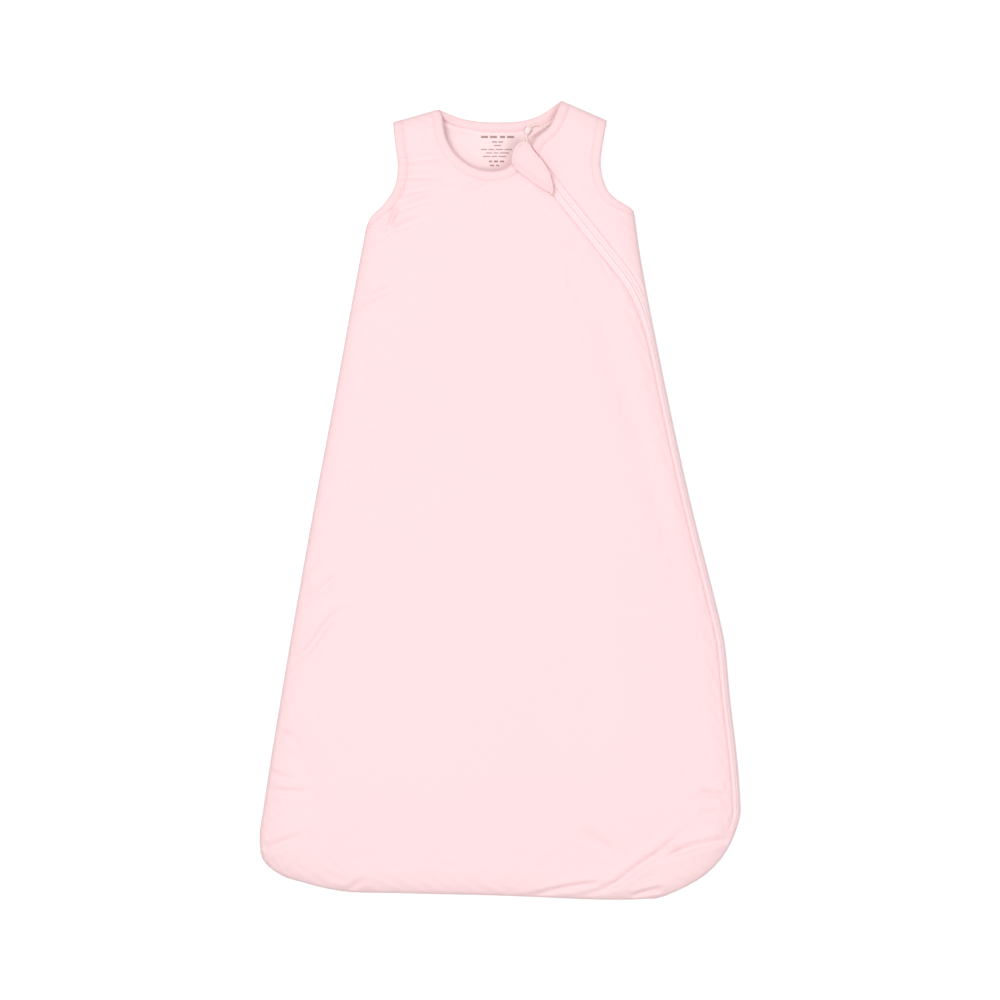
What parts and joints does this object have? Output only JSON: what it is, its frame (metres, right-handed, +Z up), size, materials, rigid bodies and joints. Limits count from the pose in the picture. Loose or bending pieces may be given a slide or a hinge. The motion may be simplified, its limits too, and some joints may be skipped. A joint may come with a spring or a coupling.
{
  "type": "baby sleeping bag",
  "caption": "Sleeveless padded baby sleeping bag lying flat, with bound neck and armholes and a slanting zip that runs on down the side to the hem.",
  "frame": {"origin": "on the table, under the middle of the bag's outline", "axes": "+X to the viewer's right, +Y from hem to neck, +Z up from the table out of the bag's front"},
  "size_m": [0.4208, 0.7, 0.0249],
  "materials": {
    "shell": "matt cotton jersey",
    "lining": "matt cotton jersey",
    "padding": "soft polyester wadding",
    "binding": "matt fine rib",
    "tape": "woven tape",
    "coil": "satin polyester coil",
    "slider": "satin enamel",
    "stop": "satin",
    "loop": "satin",
    "clasp": "satin"
  },
  "bodies": {
    "bag": {"back_shell": "shell", "back_padding": "padding", "back_lining": "lining", "front_shell": "shell", "front_padding": "padding", "front_lining": "lining", "side_shell": "shell", "side_padding": "padding", "side_lining": "lining", "neck_binding": "binding", "left_armhole_binding": "binding", "right_armhole_binding": "binding", "zip_tape_left": "tape", "zip_tape_right": "tape", "zip_coil_left": "coil", "zip_coil_right": "coil", "zip_top_stop_left": "stop", "zip_top_stop_right": "stop", "zip_bottom_stop": "stop", "tag_loop": "loop", "tag_clasp": "clasp"},
    "slider": {"zip_slider": "slider"},
    "pull": {"zip_pull": "slider"},
    "guard": {"guard_shell": "shell", "guard_lining": "lining", "guard_binding": "binding"}
  },
  "joints": [
    {"name": "zip_slide", "type": "slide", "parent": "bag", "child": "slider", "axis": [0.6252, -0.7804, 0], "range_m": [0, 0.09]},
    {"name": "guard_lift", "type": "hinge", "parent": "bag", "child": "guard", "pos_m": [0.00952, 0.29014, 0.02045], "axis": [0.808, -0.5892, 0], "range_deg": [0, 150]},
    {"name": "pull_swing", "type": "hinge", "parent": "slider", "child": "pull", "pos_m": [0.02929, 0.2961, 0.0197], "axis": [-0.7804, -0.6252, 0], "range_deg": [0, 75]}
  ],
  "couplings": [
    {"joint": "pull_swing", "follows": "guard_lift", "ratio": 0.5}
  ]
}
